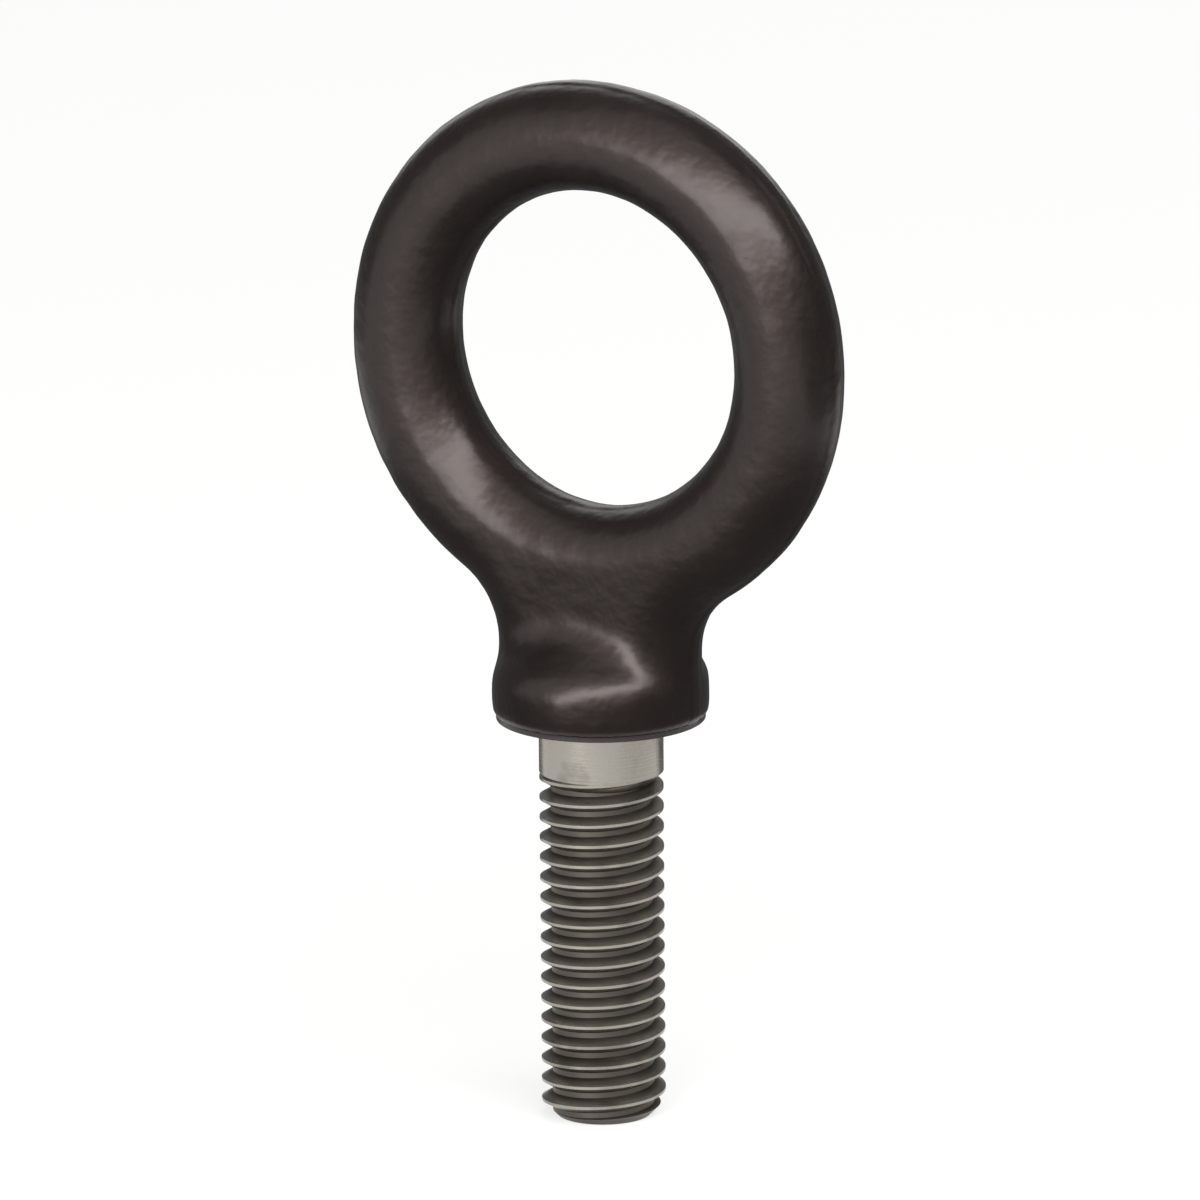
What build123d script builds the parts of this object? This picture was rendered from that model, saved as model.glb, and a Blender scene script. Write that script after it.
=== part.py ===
from build123d import *
import os
from math import ceil, cos, radians, sin, tan

os.makedirs("parts", exist_ok=True)

# Shoulder-pattern machinery eye bolt with a 3/8-16 UNC shank and one shim under its shoulder.
# Frame: millimetres, +Z up through the eye. The origin is on the shank's axis, in the plane
# where the shim rests on the machine. The eye lies in the XZ plane and its hole runs along Y.

# Eye
eye_hole_diameter = 24.7
eye_bar_diameter = 8.35
eye_centre_height = 28.5  # above the shoulder's underside
eye_foot_drop = 0.75  # how much thicker than its crown the eye is where it meets the neck
flash_line_width = 0.3  # trimmed flash, left all round the eye at the die's parting plane

# Neck: the web between the eye and the shoulder
neck_width = 16.5
neck_corner_radius = 6.0  # where the neck runs into the eye's outside
neck_foot_radius = 3.0  # where the neck's sides meet the shoulder's flare

# Shoulder
shoulder_diameter = 16.7
shoulder_wall_height = 2.3  # of the round wall, from the shoulder's underside
shoulder_top_radius = 3.0
shoulder_bottom_radius = 0.5
flare_slope = 36.5  # degrees from level, on the cone between the wall and the neck
flare_top_radius = 4.0  # hollow radius from the cone up into the neck
flare_bite = 0.3  # how deep the top of the flare lies inside the neck's flat faces

# Relief turned between the shoulder's underside and the shank's plain land
relief_depth = 0.31
relief_length = 0.8

# Shank: 3/8-16 UNC
thread_major_diameter = 9.525
thread_pitch = 1.5875
thread_allowance = 0.033  # class 2A thread: crests this much under the basic diameter
thread_flank_angle = 30.0
shank_length = 31.75
land_length = 3.5
tip_chamfer = 1.2

# Shim
shim_thickness = 0.4
shim_inset = 0.35  # between its outer edge and the shoulder's
shim_clearance = 0.39  # between its hole and the shank

# Sizes that follow
seat_z = shim_thickness  # the shoulder's underside
eye_z = seat_z + eye_centre_height
hole_radius = eye_hole_diameter / 2
eye_radius = hole_radius + eye_bar_diameter
bar_radius = eye_bar_diameter / 2
shoulder_radius = shoulder_diameter / 2
wall_z = seat_z + shoulder_wall_height
flare_inner_radius = bar_radius - flare_bite
flare_turn = 90 - flare_slope  # how far the outline turns from the wall to the cone, and back again
turns_width = (shoulder_top_radius + flare_top_radius) * (1 - cos(radians(flare_turn)))
cone_length = (shoulder_radius - flare_inner_radius - turns_width) / sin(radians(flare_turn))
neck_foot_z = seat_z + shoulder_bottom_radius  # the neck's outline starts inside the shoulder

thread_radius = thread_major_diameter / 2
thread_depth = 0.5413 * thread_pitch  # external UN thread: 5/8 of the sharp V's height
root_radius = thread_radius - thread_depth
relief_radius = thread_radius - relief_depth
relief_z = seat_z - relief_length
land_top_z = relief_z - relief_depth
land_bottom_z = land_top_z - land_length
tip_z = seat_z - shank_length


# One forging above the machine: eye, neck and shoulder
with BuildPart() as forged_eye:
    with BuildSketch(Plane.XZ) as eye_outline:
        with Locations((0, eye_z - eye_foot_drop / 2)):
            SlotCenterToCenter(eye_foot_drop, 2 * eye_radius, rotation=90)
        with Locations((0, neck_foot_z)):
            Rectangle(neck_width, eye_z - neck_foot_z, align=(Align.CENTER, Align.MIN))
        neck_corners = eye_outline.vertices().group_by(Axis.Y)[1]
        fillet(neck_corners, neck_corner_radius)
        with Locations((0, eye_z)):
            Circle(hole_radius, mode=Mode.SUBTRACT)
    extrude(amount=bar_radius, both=True)
    side_edges = forged_eye.faces().filter_by(Axis.Y).edges()
    foot_edges = side_edges.filter_by(Axis.X)
    fillet([edge for edge in side_edges if edge not in foot_edges], bar_radius - flash_line_width / 2)

    with BuildSketch(Plane.XZ):
        with BuildLine():
            underside = Line((0, seat_z), (shoulder_radius - shoulder_bottom_radius, seat_z))
            lower_edge = JernArc(underside @ 1, (1, 0), shoulder_bottom_radius, 90)
            wall = Line(lower_edge @ 1, (shoulder_radius, wall_z))
            upper_edge = JernArc(wall @ 1, (0, 1), shoulder_top_radius, flare_turn)
            cone = PolarLine(upper_edge @ 1, cone_length, direction=upper_edge % 1)
            flare = JernArc(cone @ 1, cone % 1, flare_top_radius, -flare_turn)
            flare_z = (flare @ 1).Y
            Polyline(flare @ 1, (0, flare_z), (0, seat_z))
        make_face()
    revolve(axis=Axis.Z)
    flare_edges = [edge for edge in forged_eye.edges() if wall_z < (edge @ 0.5).Z < flare_z]
    creases = [edge for edge in flare_edges if edge.geom_type in (GeomType.BSPLINE, GeomType.HYPERBOLA)]
    fillet(creases, neck_foot_radius)
forged_eye.part.label = "forged_eye"


def thread_ridge(turns):
    """A closed ridge of the thread, as many turns long, rising from z = 0 about the Z axis."""
    embed = 0.05  # the ridge's foot lies this deep in the core
    crest_radius = thread_radius - thread_allowance / 2
    foot_radius = root_radius - embed
    half_crest = thread_pitch / 16 + (thread_radius - crest_radius) * tan(radians(thread_flank_angle))
    half_foot = half_crest + (crest_radius - foot_radius) * tan(radians(thread_flank_angle))
    rise = turns * thread_pitch
    crest = [Edge.make_helix(thread_pitch, rise, crest_radius, (0, 0, z)) for z in (-half_crest, half_crest)]
    foot = [Edge.make_helix(thread_pitch, rise, foot_radius, (0, 0, z)) for z in (-half_foot, half_foot)]
    walls = [
        Face.make_surface_from_curves(crest[0], crest[1]),
        Face.make_surface_from_curves(foot[0], foot[1]),
        Face.make_surface_from_curves(crest[0], foot[0]),
        Face.make_surface_from_curves(crest[1], foot[1]),
    ]
    for end in (0, 1):
        section = [crest[0] @ end, crest[1] @ end, foot[1] @ end, foot[0] @ end]
        walls.append(Face(Wire.make_polygon(section, close=True)))
    return Solid(Shell(walls))


# The shank: relief, plain land, run-out cone and helical thread, chamfered at the tip
ridge_turns = 2
ridge_rise = ridge_turns * thread_pitch
ridge_top_z = (land_top_z + land_bottom_z) / 2
ridge_count = ceil((ridge_top_z - tip_z) / ridge_rise)
core_bottom_z = ridge_top_z - (ridge_count + 1) * ridge_rise
ridge = thread_ridge(ridge_turns)

with BuildPart() as threaded_shank:
    with BuildSketch(Plane.XZ):
        with BuildLine():
            Polyline(
                (0, seat_z),
                (relief_radius, seat_z),
                (relief_radius, relief_z),
                (thread_radius, land_top_z),
                (thread_radius, land_bottom_z),
                (root_radius, land_bottom_z - thread_depth),
                (root_radius, core_bottom_z),
                (0, core_bottom_z),
                close=True,
            )
        make_face()
    revolve(axis=Axis.Z)
    with Locations([(0, 0, ridge_top_z - (index + 1) * ridge_rise) for index in range(ridge_count)]):
        add(ridge)
    with BuildSketch(Plane.XZ):
        with BuildLine():
            Polyline(
                (0, seat_z),
                (relief_radius, seat_z),
                (relief_radius, relief_z),
                (thread_radius, land_top_z),
                (thread_radius, tip_z + tip_chamfer),
                (thread_radius - tip_chamfer, tip_z),
                (0, tip_z),
                close=True,
            )
        make_face()
    revolve(axis=Axis.Z, mode=Mode.INTERSECT)
threaded_shank.part.label = "threaded_shank"


# Thin steel shim that sets the angle at which the eye comes tight
with BuildPart() as shim_washer:
    with BuildSketch(Plane.XY):
        Circle(shoulder_radius - shim_inset)
        Circle(thread_radius + shim_clearance, mode=Mode.SUBTRACT)
    extrude(amount=shim_thickness)
shim_washer.part.label = "shim_washer"


for piece in (forged_eye, threaded_shank, shim_washer):
    export_step(piece.part, f"parts/{piece.part.label}.step")
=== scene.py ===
import math

import bpy
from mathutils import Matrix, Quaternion, Vector, noise


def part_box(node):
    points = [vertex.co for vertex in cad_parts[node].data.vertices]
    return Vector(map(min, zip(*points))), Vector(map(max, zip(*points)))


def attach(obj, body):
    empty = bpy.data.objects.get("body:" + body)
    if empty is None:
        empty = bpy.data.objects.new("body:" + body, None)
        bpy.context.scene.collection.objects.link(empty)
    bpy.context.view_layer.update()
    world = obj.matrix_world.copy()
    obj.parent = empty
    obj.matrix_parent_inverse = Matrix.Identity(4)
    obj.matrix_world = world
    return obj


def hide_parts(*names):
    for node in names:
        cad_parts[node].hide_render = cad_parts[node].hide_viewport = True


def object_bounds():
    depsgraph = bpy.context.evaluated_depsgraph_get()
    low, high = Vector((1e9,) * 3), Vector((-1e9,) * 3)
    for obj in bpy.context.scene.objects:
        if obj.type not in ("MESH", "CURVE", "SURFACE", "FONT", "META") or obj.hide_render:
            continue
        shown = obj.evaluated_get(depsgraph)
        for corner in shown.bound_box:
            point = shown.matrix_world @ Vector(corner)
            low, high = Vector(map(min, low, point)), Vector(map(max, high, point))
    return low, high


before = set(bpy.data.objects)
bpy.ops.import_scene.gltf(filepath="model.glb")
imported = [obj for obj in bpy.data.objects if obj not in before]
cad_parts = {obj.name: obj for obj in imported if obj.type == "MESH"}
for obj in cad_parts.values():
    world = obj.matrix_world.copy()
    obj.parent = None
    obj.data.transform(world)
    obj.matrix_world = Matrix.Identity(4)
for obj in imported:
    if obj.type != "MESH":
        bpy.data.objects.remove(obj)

cadLow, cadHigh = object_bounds()
mm = 0.001
eyeLow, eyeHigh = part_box("forged_eye")
seatHeight = eyeLow.z  # the turned underside of the shoulder
eyeCentre = Vector((0, 0, eyeHigh.z - eyeHigh.x))  # a round eye: half its width below its top
print("frame loaded with", ", ".join(sorted(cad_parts)))


def linearColour(hexCode):
    channels = [int(hexCode[i:i + 2], 16) / 255 for i in (1, 3, 5)]
    return [c / 12.92 if c <= 0.04045 else ((c + 0.055) / 1.055) ** 2.4 for c in channels] + [1.0]


def addNode(tree, kind, values=None, links=None, **settings):
    node = tree.nodes.new("ShaderNode" + kind)
    for name, value in settings.items():
        setattr(node, name, value)
    for socket, value in (values or {}).items():
        node.inputs[socket].default_value = value
    for socket, source in (links or {}).items():
        tree.links.new(source, node.inputs[socket])
    return node


def newMaterial(name):
    material = bpy.data.materials.new(name)
    material.use_nodes = True
    material.node_tree.nodes.clear()
    return material, material.node_tree


def wear(thing, material):
    thing.data.materials.clear()
    thing.data.materials.append(material)


def pickOnly(thing):
    bpy.ops.object.select_all(action="DESELECT")
    thing.select_set(True)
    bpy.context.view_layer.objects.active = thing


def applyModifier(thing, kind, **settings):
    modifier = thing.modifiers.new(kind.lower(), kind)
    for name, value in settings.items():
        setattr(modifier, name, value)
    pickOnly(thing)
    bpy.ops.object.modifier_apply(modifier=modifier.name)


def smoothStep(value, start, end):
    part = min(1.0, max(0.0, (value - start) / (end - start)))
    return part * part * (3 - 2 * part)


# The forging, with the skin that a drop forging keeps under its paint: slow die waves, shallow
# scale dents, and the trimmed flash as a low ribbon all round in the parting plane.
forging = {
    "merge": 0.001 * mm,
    "grid": 0.23 * mm,
    "smoothing": 8,
    "softening": 24,  # more of the same above the seat, where the dies leave everything rounder
    "lastSmoothing": 1,
    "smoothFactor": 0.5,
    "waves": ("dieWaves", 4.5 * mm, 1, 0.10 * mm),  # name, size, octaves, depth
    "dents": ("scaleDents", 2.0 * mm, 2, 0.08 * mm),
    "noiseMiddle": 0.75,  # noise of this value leaves the surface where it is
    "flashWidth": 1.3 * mm,
    "flashHeight": 0.12 * mm,
    "flashSlope": 0.36 * mm,
    "flashRagged": 2.5 * mm,
    "flashRaggedShare": 0.25,
    "flashUneven": 6.0 * mm,
    "flashUnevenShare": 0.5,
    "flashLevel": 0.75,  # the ribbon's mean share of its full height
    "seatTolerance": 0.1 * mm,
    "seatMargin": 0.6 * mm,  # the turned seat under the shoulder keeps clear of all that
}


def makeForging(values):
    piece = bpy.data.objects.new("eye_forging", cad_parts["forged_eye"].data.copy())
    bpy.context.scene.collection.objects.link(piece)
    pickOnly(piece)
    bpy.ops.object.mode_set(mode="EDIT")
    bpy.ops.mesh.select_all(action="SELECT")
    bpy.ops.mesh.remove_doubles(threshold=values["merge"])
    bpy.ops.object.mode_set(mode="OBJECT")
    factor = values["smoothFactor"]
    applyModifier(piece, "REMESH", mode="VOXEL", voxel_size=values["grid"], use_smooth_shade=True)
    applyModifier(piece, "SMOOTH", factor=factor, iterations=values["smoothing"])

    free = piece.vertex_groups.new(name="forged")
    ribbon = piece.vertex_groups.new(name="flash")
    half, slope = values["flashWidth"] / 2, values["flashSlope"] / 2
    seatTop = seatHeight + values["seatTolerance"]
    for vertex in piece.data.vertices:
        place = vertex.co
        clear = smoothStep(place.z, seatTop, seatHeight + values["seatMargin"])
        free.add([vertex.index], clear, "REPLACE")
        raggedness = values["flashRaggedShare"] * noise.noise(place / values["flashRagged"])
        ragged = half * (1 + raggedness)
        proud = 1 - smoothStep(abs(place.y), ragged - slope, ragged + slope)
        unevenness = values["flashUnevenShare"] * noise.noise(place / values["flashUneven"])
        height = clear * proud * (values["flashLevel"] + unevenness)
        ribbon.add([vertex.index], min(1.0, height), "REPLACE")

    applyModifier(piece, "SMOOTH", factor=factor, iterations=values["softening"],
                  vertex_group="forged")
    for name, size, octaves, depth in (values["waves"], values["dents"]):
        texture = bpy.data.textures.new(name, "CLOUDS")
        texture.noise_basis = "IMPROVED_PERLIN"
        texture.noise_scale = size
        texture.noise_depth = octaves
        applyModifier(piece, "DISPLACE", texture=texture, texture_coords="LOCAL",
                      mid_level=values["noiseMiddle"], strength=depth, vertex_group="forged")
    applyModifier(piece, "DISPLACE", mid_level=0.0, strength=values["flashHeight"],
                  vertex_group="flash")
    applyModifier(piece, "SMOOTH", factor=factor, iterations=values["lastSmoothing"])

    for vertex in piece.data.vertices:  # the seat is turned flat
        if vertex.co.z < seatTop:
            vertex.co.z = seatHeight
    piece.vertex_groups.clear()
    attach(piece, "bolt")
    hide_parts("forged_eye")
    print("eye forging has", len(piece.data.polygons), "faces")
    return piece


eyeForging = makeForging(forging)

noiseLow, noiseHigh = 0.3, 0.7  # a noise texture seldom leaves this range


def axisDistance(tree, axes):
    # how far a point lies from the shank's axis
    square = addNode(tree, "Math", {}, {0: axes.outputs["X"], 1: axes.outputs["X"]},
                     operation="MULTIPLY")
    squares = addNode(tree, "Math", {},
                      {0: axes.outputs["Y"], 1: axes.outputs["Y"], 2: square.outputs[0]},
                      operation="MULTIPLY_ADD")
    root = addNode(tree, "Math", {}, {0: squares.outputs[0]}, operation="SQRT")
    return root.outputs[0]


paint = {
    "colour": "#0e0b0a",
    "thinColour": "#161210",
    "sheen": "#ffdad0",  # the brown pigment near the surface warms the gloss a little
    "sheenLevel": 0.25,
    "roughness": (0.38, 0.46),
    "glaze": 0.4,  # share of the resin that lies glossy on top
    "glazeRoughness": 0.27,
    "cloudSize": 4.0 * mm,
    "peelSize": 0.9 * mm,
    "peelDepth": 0.08 * mm,
    "dustSize": 0.35 * mm,
    "dustDepth": 0.008 * mm,
    "seatColour": "#8f8b85",
    "cutColour": "#6d6a66",
    "seatRadius": 7.8 * mm,
    "seatRagged": 0.25 * mm,
    "seatDepth": 0.04 * mm,
    "cutSpacing": 0.16 * mm,
}


def makePaint(values):
    # Alkyd machinery enamel, sprayed thick over a forging: a warm black film with a semi-gloss
    # orange peel. The spot face under the shoulder was turned, so it is bare bright steel.
    material, tree = newMaterial("machineryEnamel")
    place = addNode(tree, "TexCoord").outputs["Object"]
    axes = addNode(tree, "SeparateXYZ", {}, {0: place})
    cloud = addNode(tree, "TexNoise", {"Scale": 1 / values["cloudSize"], "Detail": 3.0},
                    {"Vector": place})
    peel = addNode(tree, "TexNoise", {"Scale": 1 / values["peelSize"], "Detail": 1.0},
                   {"Vector": place})
    dust = addNode(tree, "TexNoise", {"Scale": 1 / values["dustSize"], "Detail": 2.0},
                   {"Vector": place})
    tone = addNode(tree, "MixRGB",
                   {1: linearColour(values["colour"]), 2: linearColour(values["thinColour"])},
                   {0: cloud.outputs["Fac"]})
    smooth, dull = values["roughness"]
    gloss = addNode(tree, "MapRange", {"From Min": noiseLow, "From Max": noiseHigh,
                                       "To Min": smooth, "To Max": dull},
                    {"Value": cloud.outputs["Fac"]})

    # the seat: near the underside's height, inside the paint's edge
    radius = axisDistance(tree, axes)
    ragged = addNode(tree, "MapRange",
                     {"To Min": -values["seatRagged"], "To Max": values["seatRagged"]},
                     {"Value": peel.outputs["Fac"]})
    edge = addNode(tree, "Math", {}, {0: radius, 1: ragged.outputs["Result"]}, operation="ADD")
    inside = addNode(tree, "Math", {1: values["seatRadius"]}, {0: edge.outputs[0]},
                     operation="LESS_THAN")
    under = addNode(tree, "Math", {1: seatHeight + values["seatDepth"]}, {0: axes.outputs["Z"]},
                    operation="LESS_THAN")
    bare = addNode(tree, "Math", {}, {0: inside.outputs[0], 1: under.outputs[0]},
                   operation="MULTIPLY")
    rings = addNode(tree, "CombineXYZ", {}, {"X": radius})
    cuts = addNode(tree, "TexNoise", {"Scale": 1 / values["cutSpacing"], "Detail": 2.0},
                   {"Vector": rings.outputs[0]})
    seatTone = addNode(tree, "MixRGB",
                       {1: linearColour(values["cutColour"]),
                        2: linearColour(values["seatColour"])}, {0: cuts.outputs["Fac"]})

    colour = addNode(tree, "MixRGB", {},
                     {0: bare.outputs[0], 1: tone.outputs[0], 2: seatTone.outputs[0]})
    rough = addNode(tree, "Mix", {}, {"Factor": bare.outputs[0], "A": gloss.outputs["Result"],
                                      "B": cuts.outputs["Fac"]})
    waviness = addNode(tree, "Math", {1: values["peelDepth"] / mm}, {0: peel.outputs["Fac"]},
                       operation="MULTIPLY")
    height = addNode(tree, "Math", {1: values["dustDepth"] / mm},
                     {0: dust.outputs["Fac"], 2: waviness.outputs[0]}, operation="MULTIPLY_ADD")
    relief = addNode(tree, "Bump", {"Strength": 1.0, "Distance": 1 * mm},
                     {"Height": height.outputs[0]})
    film = addNode(tree, "BsdfPrincipled",
                   {"Specular Tint": linearColour(values["sheen"]),
                    "Specular IOR Level": values["sheenLevel"],
                    "Coat Weight": values["glaze"], "Coat Roughness": values["glazeRoughness"]},
                   {"Base Color": colour.outputs[0], "Roughness": rough.outputs["Result"],
                    "Metallic": bare.outputs[0], "Normal": relief.outputs["Normal"]})
    addNode(tree, "OutputMaterial", {}, {"Surface": film.outputs["BSDF"]})
    return material


wear(eyeForging, makePaint(paint))
print("paint done")

thread = {
    "crestColour": "#a39e96",
    "rootColour": "#5a554f",
    "oilColour": "#4b433b",
    "crestRadius": 4.72 * mm,
    "rootRadius": 3.95 * mm,
    "roughness": (0.26, 0.45),
    "markRoughness": 0.06,
    "markSpacing": 0.14 * mm,
    "markDepth": 0.004 * mm,
    "stainSize": 3.0 * mm,
    "stainRange": (0.5, 0.72),  # noise at which a stain starts, and at which it is full
    "stainShare": 0.5,
}


def makeThreadSteel(values):
    # Rolled thread on carbon steel, wiped with oil: burnished bright crests, darker roots where
    # oil and mill scale stay, and fine marks that run round from the rolls and the lathe.
    material, tree = newMaterial("oiledRolledSteel")
    place = addNode(tree, "TexCoord").outputs["Object"]
    axes = addNode(tree, "SeparateXYZ", {}, {0: place})
    radius = axisDistance(tree, axes)
    turning = addNode(tree, "CombineXYZ", {}, {"X": radius, "Z": axes.outputs["Z"]})
    marks = addNode(tree, "TexNoise", {"Scale": 1 / values["markSpacing"], "Detail": 2.0},
                    {"Vector": turning.outputs[0]})
    stain = addNode(tree, "TexNoise", {"Scale": 1 / values["stainSize"], "Detail": 4.0},
                    {"Vector": place})
    depth = addNode(tree, "MapRange",
                    {"From Min": values["rootRadius"], "From Max": values["crestRadius"]},
                    {"Value": radius}, interpolation_type="SMOOTHSTEP")
    steel = addNode(tree, "MixRGB",
                    {1: linearColour(values["rootColour"]), 2: linearColour(values["crestColour"])},
                    {0: depth.outputs["Result"]})
    stainStart, stainFull = values["stainRange"]
    film = addNode(tree, "MapRange", {"From Min": stainStart, "From Max": stainFull,
                                      "To Max": values["stainShare"]},
                   {"Value": stain.outputs["Fac"]})
    oiled = addNode(tree, "MixRGB", {2: linearColour(values["oilColour"])},
                    {0: film.outputs["Result"], 1: steel.outputs[0]})
    smooth, dull = values["roughness"]
    burnish = addNode(tree, "MapRange", {"To Min": dull, "To Max": smooth},
                      {"Value": depth.outputs["Result"]})
    grain = addNode(tree, "MapRange", {"From Min": noiseLow, "From Max": noiseHigh,
                                       "To Min": -values["markRoughness"],
                                       "To Max": values["markRoughness"]},
                    {"Value": marks.outputs["Fac"]})
    rough = addNode(tree, "Math", {},
                    {0: burnish.outputs["Result"], 1: grain.outputs["Result"]}, operation="ADD")
    relief = addNode(tree, "Bump", {"Strength": 1.0, "Distance": values["markDepth"]},
                     {"Height": marks.outputs["Fac"]})
    metal = addNode(tree, "BsdfPrincipled", {"Metallic": 1.0},
                    {"Base Color": oiled.outputs[0], "Roughness": rough.outputs[0],
                     "Normal": relief.outputs["Normal"]})
    addNode(tree, "OutputMaterial", {}, {"Surface": metal.outputs["BSDF"]})
    return material


wear(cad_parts["threaded_shank"], makeThreadSteel(thread))
print("thread steel done")

shim = {
    "steelColour": "#8c8a86",
    "darkColour": "#6f6c68",
    "roughness": (0.24, 0.40),
    "rollSpacing": 0.12 * mm,
    "rollStretch": 0.02,  # the rolling lines run along Y
    "rollDepth": 0.002 * mm,
    "paintColour": "#1b1615",
    "paintRadius": 7.72 * mm,  # enamel reached this far in from the rim
    "paintRagged": 0.2 * mm,
    "blotSize": 1.2 * mm,
}


def makeShimSteel(values):
    # Cold-rolled spring steel shim stock: straight rolling lines across both faces, and the
    # machine's enamel on the cut rim, where the shim showed when everything was painted.
    material, tree = newMaterial("rolledShimSteel")
    place = addNode(tree, "TexCoord").outputs["Object"]
    axes = addNode(tree, "SeparateXYZ", {}, {0: place})
    radius = axisDistance(tree, axes)
    blot = addNode(tree, "TexNoise", {"Scale": 1 / values["blotSize"], "Detail": 2.0},
                   {"Vector": place})
    ragged = addNode(tree, "MapRange",
                     {"To Min": -values["paintRagged"], "To Max": values["paintRagged"]},
                     {"Value": blot.outputs["Fac"]})
    edge = addNode(tree, "Math", {}, {0: radius, 1: ragged.outputs["Result"]}, operation="ADD")
    painted = addNode(tree, "Math", {1: values["paintRadius"]}, {0: edge.outputs[0]},
                      operation="GREATER_THAN")
    drawn = addNode(tree, "Mapping", {"Scale": (1.0, values["rollStretch"], 1.0)},
                    {"Vector": place})
    lines = addNode(tree, "TexNoise", {"Scale": 1 / values["rollSpacing"], "Detail": 2.0},
                    {"Vector": drawn.outputs[0]})
    steel = addNode(tree, "MixRGB",
                    {1: linearColour(values["darkColour"]), 2: linearColour(values["steelColour"])},
                    {0: lines.outputs["Fac"]})
    colour = addNode(tree, "MixRGB", {2: linearColour(values["paintColour"])},
                     {0: painted.outputs[0], 1: steel.outputs[0]})
    smooth, dull = values["roughness"]
    rough = addNode(tree, "MapRange", {"From Min": noiseLow, "From Max": noiseHigh,
                                       "To Min": smooth, "To Max": dull},
                    {"Value": lines.outputs["Fac"]})
    metallic = addNode(tree, "Math", {0: 1.0}, {1: painted.outputs[0]}, operation="SUBTRACT")
    relief = addNode(tree, "Bump", {"Strength": 1.0, "Distance": values["rollDepth"]},
                     {"Height": lines.outputs["Fac"]})
    metal = addNode(tree, "BsdfPrincipled", {},
                    {"Base Color": colour.outputs[0], "Roughness": rough.outputs["Result"],
                     "Metallic": metallic.outputs[0], "Normal": relief.outputs["Normal"]})
    addNode(tree, "OutputMaterial", {}, {"Surface": metal.outputs["BSDF"]})
    return material


wear(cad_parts["shim_washer"], makeShimSteel(shim))
print("shim steel done")

studio = {
    "ambient": 0.45,  # what the plain surroundings give, besides the lamps
    "floorColour": "#f4f4f2",
    "floorSize": 6.0,
    "floorGap": 0.05 * mm,
    "floorWhite": 0.7,  # how much of the seen floor is plain white, the rest takes the shadow
}


def backgroundRays(tree):
    # 1 for a ray from the camera, or one that a glossy or clear surface sends on
    path = addNode(tree, "LightPath")
    seen = addNode(tree, "Math", {},
                   {0: path.outputs["Is Camera Ray"], 1: path.outputs["Is Glossy Ray"]},
                   operation="MAXIMUM")
    every = addNode(tree, "Math", {},
                    {0: seen.outputs[0], 1: path.outputs["Is Transmission Ray"]},
                    operation="MAXIMUM")
    return every.outputs[0]


def finishOneSided(tree, front):
    # from behind it is clear, so a view from that side looks through
    clear = addNode(tree, "BsdfTransparent")
    side = addNode(tree, "NewGeometry")
    oneSided = addNode(tree, "MixShader", {},
                       {0: side.outputs["Backfacing"], 1: front.outputs[0], 2: clear.outputs[0]})
    addNode(tree, "OutputMaterial", {}, {"Surface": oneSided.outputs[0]})


def makeWorld(values):
    world = bpy.data.worlds.new("studioWhite")
    bpy.context.scene.world = world
    world.use_nodes = True
    tree = world.node_tree
    tree.nodes.clear()
    level = addNode(tree, "MapRange", {"To Min": values["ambient"], "To Max": 1.0},
                    {"Value": backgroundRays(tree)})
    light = addNode(tree, "Background", {"Color": (1, 1, 1, 1)},
                    {"Strength": level.outputs["Result"]})
    addNode(tree, "OutputWorld", {}, {"Surface": light.outputs["Background"]})


def makeFloor(values):
    bpy.ops.object.select_all(action="DESELECT")
    bpy.ops.mesh.primitive_plane_add(size=values["floorSize"],
                                     location=(0, 0, cadLow.z - values["floorGap"]))
    floor = bpy.context.object
    floor.name = "floor"
    material, tree = newMaterial("paleFloor")
    share = addNode(tree, "Math", {1: values["floorWhite"]}, {0: backgroundRays(tree)},
                    operation="MULTIPLY")
    matt = addNode(tree, "BsdfDiffuse", {"Color": linearColour(values["floorColour"])})
    white = addNode(tree, "Emission", {"Strength": 1.0})
    mixed = addNode(tree, "MixShader", {},
                    {0: share.outputs[0], 1: matt.outputs[0], 2: white.outputs[0]})
    finishOneSided(tree, mixed)
    wear(floor, material)


makeWorld(studio)
makeFloor(studio)


def directionTo(azimuth, elevation):
    # azimuth 0 is straight before the eye's hole and 90 is to its right
    a, e = math.radians(azimuth), math.radians(elevation)
    return Vector((math.sin(a) * math.cos(e), -math.cos(a) * math.cos(e), math.sin(e)))


whitePower = 4  # watts for each square metre of a lamp that is as bright as white
lamps = {
    # name: azimuth, elevation, roll, distance, width, height, level (1 is white)
    "stripBox": (26, 33, 29, 0.9, 2.45, 0.34, 7.4),
    "backFill": (-158, 24, 0, 0.9, 0.5, 0.7, 0.5),
}


def addLamp(name, azimuth, elevation, roll, distance, width, height, level):
    data = bpy.data.lights.new(name, "AREA")
    data.shape = "RECTANGLE"
    data.size, data.size_y = width, height
    data.energy = level * whitePower * width * height
    lamp = bpy.data.objects.new(name, data)
    bpy.context.scene.collection.objects.link(lamp)
    towards = directionTo(azimuth, elevation)
    lamp.location = eyeCentre + towards * distance
    turn = towards.to_track_quat("Z", "Y") @ Quaternion((0, 0, 1), math.radians(roll))
    lamp.rotation_euler = turn.to_euler()
    lamp.visible_camera = False


for lampName, lampValues in lamps.items():
    addLamp(lampName, *lampValues)

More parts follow.
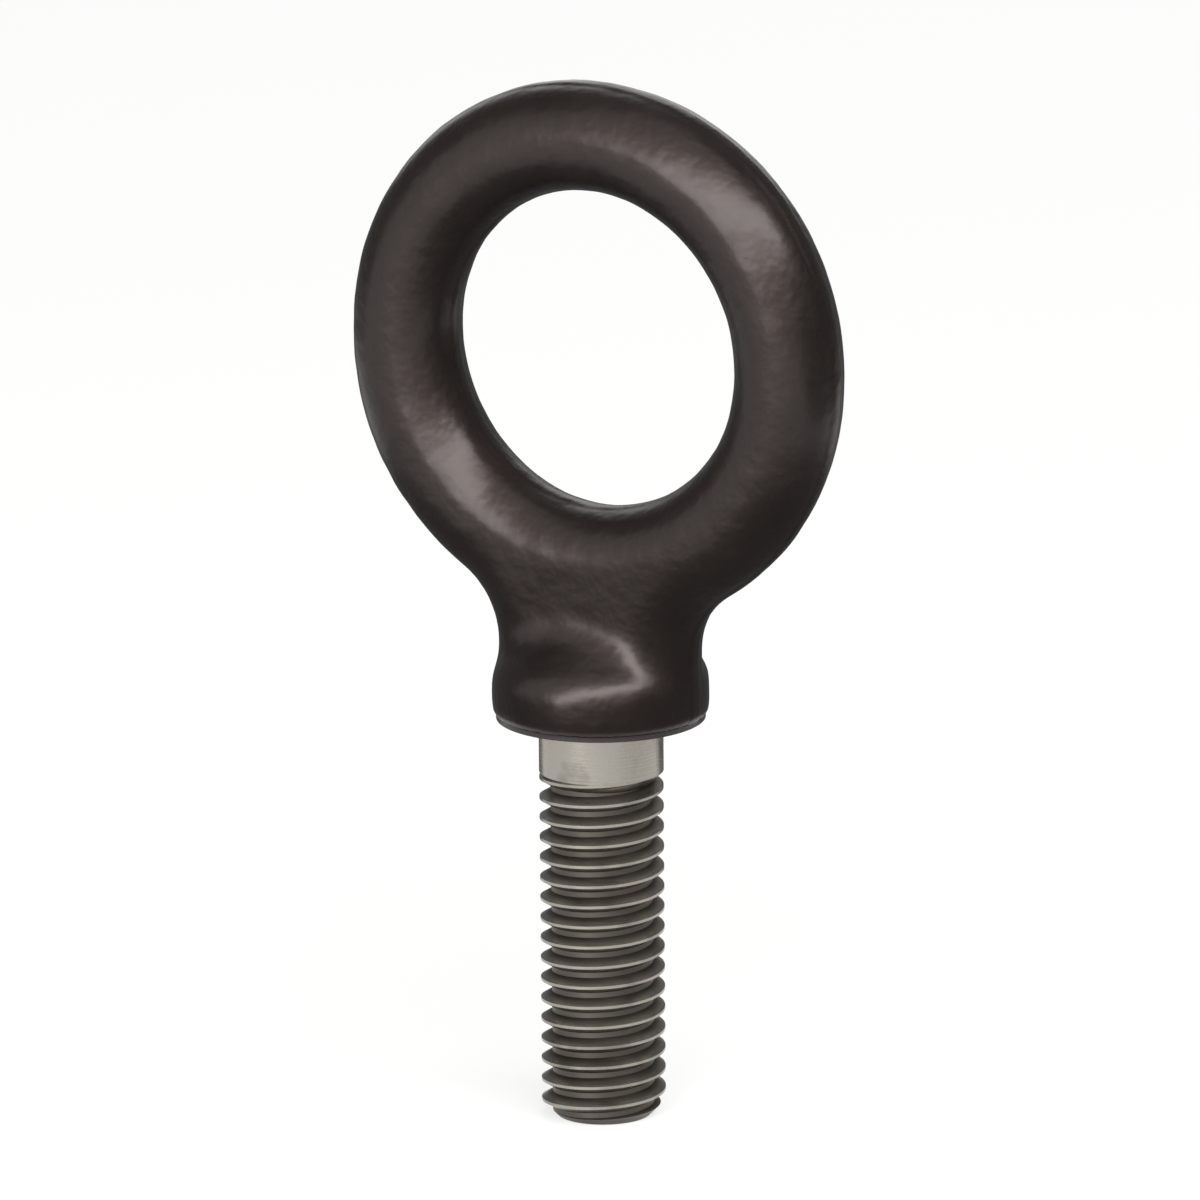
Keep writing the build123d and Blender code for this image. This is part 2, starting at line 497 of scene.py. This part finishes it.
cards = {
    # name: azimuth, elevation, distance, width, height, grey (1 is white)
    "rightCard": (103, 2, 0.16, 0.28, 0.13, 0.12),
    "backRightCard": (150, 28, 0.18, 0.24, 0.33, 0.20),
    "backCard": (205, -20, 0.08, 0.14, 0.075, 0.20),
    "leftCard": (-95, 28, 0.18, 0.20, 0.34, 0.15),
    "overheadCard": (-140, 66, 0.25, 0.34, 0.20, 0.30),
    "frontCard": (48, 0, 0.50, 0.34, 0.12, 0.40),
}


def finishCard(card, name, grey):
    # a plain grey card, seen only in gloss, and only from its front
    card.name = name
    card.visible_camera = False
    card.visible_diffuse = False
    card.visible_shadow = False
    material, tree = newMaterial("greyCard")
    board = addNode(tree, "Emission", {"Strength": grey})
    finishOneSided(tree, board)
    wear(card, material)


def addCard(name, azimuth, elevation, distance, width, height, grey):
    bpy.ops.object.select_all(action="DESELECT")
    towards = directionTo(azimuth, elevation)
    bpy.ops.mesh.primitive_plane_add(size=1, location=eyeCentre + towards * distance,
                                     rotation=(-towards).to_track_quat("Z", "Y").to_euler())
    card = bpy.context.object
    card.scale = (width, height, 1)
    finishCard(card, name, grey)


for cardName, cardValues in cards.items():
    addCard(cardName, *cardValues)

housingCard = {
    # stands in for the dark housing that such a bolt is screwed into, level with its seat
    "radius": 55 * mm,
    "hole": 9 * mm,
    "height": 0.1 * mm,
    "sides": 96,
    "grey": 0.15,
}


def addHousingCard(values):
    bpy.ops.object.select_all(action="DESELECT")
    bpy.ops.mesh.primitive_circle_add(vertices=values["sides"], radius=values["radius"],
                                      fill_type="NGON", location=(0, 0, values["height"]))
    card = bpy.context.object
    bpy.ops.object.mode_set(mode="EDIT")
    bpy.ops.mesh.select_all(action="SELECT")
    bpy.ops.mesh.inset(thickness=values["radius"] - values["hole"])
    bpy.ops.mesh.delete(type="FACE")
    bpy.ops.object.mode_set(mode="OBJECT")
    finishCard(card, "housingCard", values["grey"])


addHousingCard(housingCard)
print("studio done")

cameraValues = {
    "azimuth": 29.0,
    "elevation": 14.06,
    "distance": 1.953,
    "roll": 0.46,
    "fill": 0.86,  # share of the frame's height that the bolt takes
    "clipEnd": 10,
}


def addCamera(values):
    data = bpy.data.cameras.new("camera")
    camera = bpy.data.objects.new("camera", data)
    bpy.context.scene.collection.objects.link(camera)
    towards = directionTo(values["azimuth"], values["elevation"])
    camera.location = eyeCentre + towards * values["distance"]
    look = (cadLow + cadHigh) / 2 - camera.location
    turn = look.to_track_quat("-Z", "Y") @ Quaternion((0, 0, 1), -math.radians(values["roll"]))
    camera.rotation_euler = turn.to_euler()
    height = (cadHigh.z - cadLow.z) * math.cos(math.radians(values["elevation"]))
    data.lens = data.sensor_width * look.length * values["fill"] / height
    data.clip_end = values["clipEnd"]
    bpy.context.scene.camera = camera


addCamera(cameraValues)
bpy.context.scene.view_settings.view_transform = "Standard"
print("camera done")
